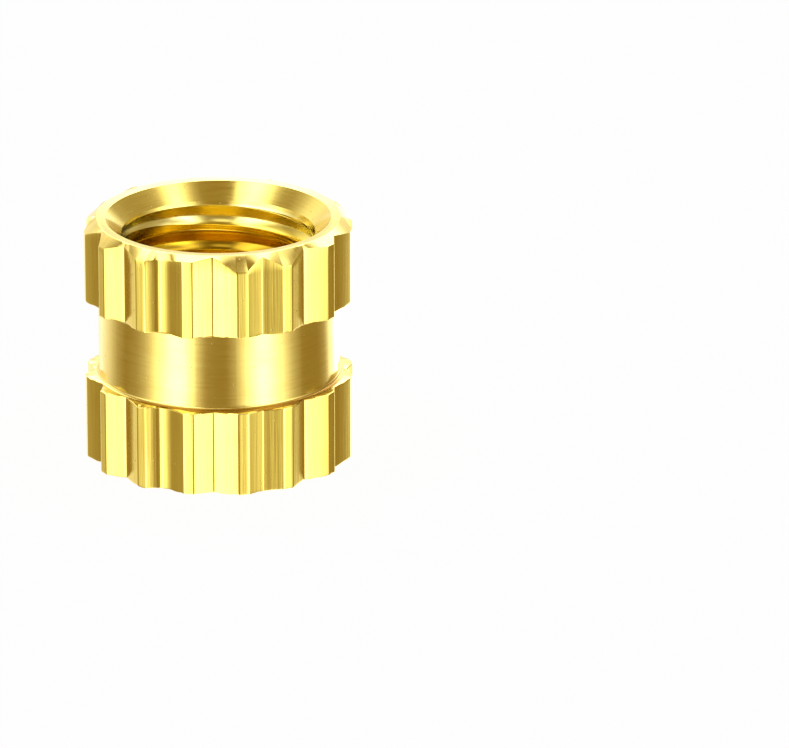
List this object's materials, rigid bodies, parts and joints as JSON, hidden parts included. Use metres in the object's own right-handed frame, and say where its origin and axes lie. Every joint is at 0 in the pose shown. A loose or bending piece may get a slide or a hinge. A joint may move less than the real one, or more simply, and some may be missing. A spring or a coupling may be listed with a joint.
{
  "type": "threaded insert",
  "caption": "Short brass sleeve with a tapped through bore, countersunk ends and straight-knurled bands either side of a turned retention groove.",
  "frame": {"origin": "centre of the lower end face, on the bore axis", "axes": "+Z along the bore, towards the bevelled lead-in end; a tooth crest of each band lies on +X"},
  "size_m": [0.01, 0.01, 0.0092],
  "materials": {
    "brass": "bright turned brass, straight-knurled bands"
  },
  "bodies": {
    "root": {"insert": "brass"}
  },
  "joints": []
}
